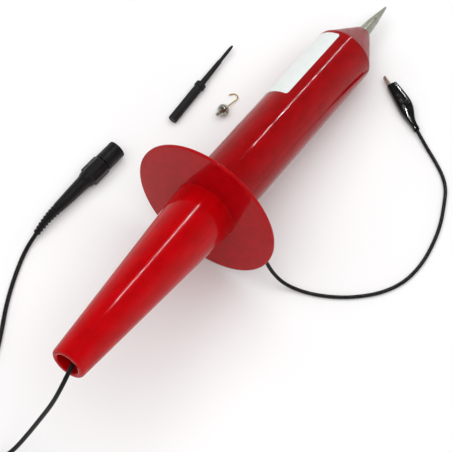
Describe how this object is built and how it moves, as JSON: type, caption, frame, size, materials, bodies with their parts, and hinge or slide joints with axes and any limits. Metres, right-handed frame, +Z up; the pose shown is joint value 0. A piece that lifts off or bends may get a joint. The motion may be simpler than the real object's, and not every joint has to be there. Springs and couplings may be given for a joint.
{
  "type": "high-voltage oscilloscope probe",
  "caption": "Hand-held high-voltage probe: tapered handle, round hand guard, long barrel and pointed tip, with coiled cable, bayonet plug, ground lead and clip, and loose accessories.",
  "frame": {"origin": "on the surface the probe lies on, under the middle of the probe with its two loose accessories, cords left out", "axes": "+Y along the probe towards its tip, +Z up, +X to the right seen from behind the handle"},
  "size_m": [0.2628, 0.5425, 0.1192],
  "materials": {
    "grip_red": "gloss",
    "guard_red": "gloss",
    "barrel_red": "gloss",
    "white_insulator": "satin",
    "nose_plastic": "satin",
    "screw_steel": "satin",
    "label": "satin",
    "tip_metal": "satin",
    "plated_metal": "satin",
    "spring_steel": "satin",
    "resistor_body": "gloss",
    "board": "satin",
    "components": "matte",
    "black_rubber": "matte",
    "black_plastic": "matte",
    "cable_jacket": "satin",
    "lead_jacket": "satin",
    "brass_metal": "satin",
    "clip_steel": "satin",
    "clip_vinyl": "gloss",
    "tool_plastic": "satin"
  },
  "bodies": {
    "probe": {"barrel_tube": "barrel_red", "blank_label": "label", "board_components": "components", "cable_anchor": "black_plastic", "cable_coil": "cable_jacket", "cable_crimp": "plated_metal", "cable_tie": "black_plastic", "clip_boot": "clip_vinyl", "clip_lower_jaw": "clip_steel", "clip_rivet": "screw_steel", "clip_spring": "spring_steel", "clip_wire_screw": "screw_steel", "coax_lead": "cable_jacket", "coax_tail": "cable_jacket", "contact_spring": "spring_steel", "divider_board": "board", "front_end_cap": "plated_metal", "front_support": "white_insulator", "ground_lead": "lead_jacket", "ground_ring": "plated_metal", "ground_screw": "screw_steel", "hand_guard": "guard_red", "handle_shell": "grip_red", "hv_resistor": "resistor_body", "inner_coax": "cable_jacket", "joining_sleeve": "white_insulator", "lead_grommet": "black_rubber", "nose_cone": "nose_plastic", "nose_screw": "screw_steel", "plug_boot": "black_rubber", "plug_collar": "black_plastic", "plug_gasket": "black_rubber", "plug_housing": "black_plastic", "plug_insulator": "white_insulator", "plug_pin": "brass_metal", "plug_shell": "plated_metal", "rear_end_cap": "plated_metal", "rear_support": "white_insulator", "tip_socket": "plated_metal"},
    "plug_sleeve": {"coupling_sleeve": "black_plastic"},
    "trimmer": {"trimmer_screw": "brass_metal"},
    "clip_jaw": {"clip_upper_jaw": "clip_steel"},
    "tip": {"probe_tip": "tip_metal"},
    "adjusting_tool": {"tool_handle": "tool_plastic", "tool_blade": "tool_plastic"},
    "hook_tip": {"hook_collar": "plated_metal", "hook_wire": "brass_metal"}
  },
  "joints": [
    {"name": "sleeve_turn", "type": "hinge", "parent": "probe", "child": "plug_sleeve", "pos_m": [-0.09064, -0.02987, 0.00785], "axis": [0.0924, 0.9957, 0], "continuous": true},
    {"name": "trimmer_turn", "type": "hinge", "parent": "probe", "child": "trimmer", "pos_m": [-0.09239, -0.04879, 0.00785], "axis": [-0.9957, 0.0924, 0], "continuous": true},
    {"name": "jaw_open", "type": "hinge", "parent": "probe", "child": "clip_jaw", "pos_m": [0.07049, 0.14612, 0.0039], "axis": [0, 0, -1], "range_deg": [0, 25], "stiffness_Nm_per_rad": 0.1, "springref_deg": -14.32, "deforming": ["clip_boot"]},
    {"name": "tip_unscrew", "type": "slide", "parent": "probe", "child": "tip", "axis": [0, 0.9834, -0.1812], "range_m": [0, 0.014]},
    {"name": "tool_lift", "type": "slide", "parent": "probe", "child": "adjusting_tool", "axis": [0, 0, 1], "range_m": [0, 0.08]},
    {"name": "hook_lift", "type": "slide", "parent": "probe", "child": "hook_tip", "axis": [0, 0, 1], "range_m": [0, 0.08]}
  ]
}
